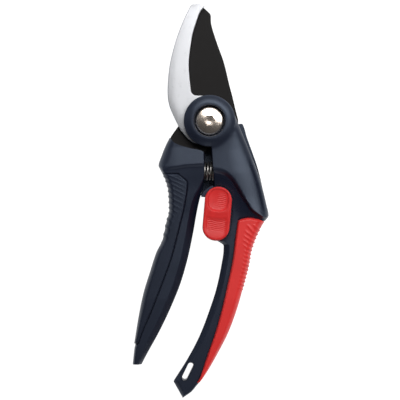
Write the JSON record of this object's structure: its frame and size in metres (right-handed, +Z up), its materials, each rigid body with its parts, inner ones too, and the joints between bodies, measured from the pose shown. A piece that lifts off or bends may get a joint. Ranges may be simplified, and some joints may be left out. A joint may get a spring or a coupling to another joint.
{
  "type": "pruning shears",
  "caption": "Bypass garden pruning shears lying closed: hook and cutting blade on a bolted pivot, two gripped handles, a coil spring between them and a sliding thumb lock.",
  "frame": {"origin": "on the pivot axis, in the back face of the pivot nut, which is in the plane that the tool lies on", "axes": "+X to the right seen from the front, +Y towards the blade tips, +Z up out of the front face, along the pivot axis"},
  "size_m": [0.0727, 0.2105, 0.0203],
  "materials": {
    "hook_steel": "satin ground steel",
    "blade_coating": "dark low-friction coating",
    "bolt_chrome": "polished chrome",
    "zinc_steel": "zinc plated",
    "spring_steel": "bright drawn wire",
    "bronze": "plain bearing bronze",
    "navy_plastic": "satin glass-filled nylon",
    "dark_plastic": "matt moulded",
    "black_rubber": "matt soft-touch overmould",
    "red_rubber": "matt soft-touch overmould",
    "red_plastic": "satin gloss moulded",
    "latch_steel": "blackened steel"
  },
  "bodies": {
    "hook_half": {"hook_blade": "hook_steel", "pivot_bolt": "bolt_chrome", "pivot_nut": "zinc_steel", "spring_washer": "spring_steel", "bolt_washer": "zinc_steel", "pivot_bushing": "bronze", "right_handle_front": "navy_plastic", "right_handle_back": "navy_plastic", "right_grip": "red_rubber", "coil_spring": "spring_steel", "spring_stud_right": "dark_plastic", "lock_guide": "dark_plastic", "lock_guide_screw": "zinc_steel", "lock_click_spring": "spring_steel", "right_handle_screw_1": "zinc_steel", "right_handle_screw_2": "zinc_steel", "right_handle_screw_3": "zinc_steel"},
    "blade_half": {"cutting_blade": "blade_coating", "left_handle_front": "navy_plastic", "left_handle_back": "navy_plastic", "left_grip": "black_rubber", "spring_stud_left": "dark_plastic", "left_handle_screw_1": "zinc_steel", "left_handle_screw_2": "zinc_steel", "left_handle_screw_3": "zinc_steel"},
    "lock": {"lock_slider": "red_plastic", "lock_tongue": "latch_steel", "lock_rivet": "zinc_steel"}
  },
  "joints": [
    {"name": "main_pivot", "type": "hinge", "parent": "hook_half", "child": "blade_half", "pos_m": [0, 0, 0.0094], "axis": [0, 0, -1], "range_deg": [0, 28], "deforming": ["coil_spring"]},
    {"name": "lock_slide", "type": "slide", "parent": "hook_half", "child": "lock", "axis": [-0.0872, -0.9962, 0], "range_m": [0, 0.007]}
  ]
}
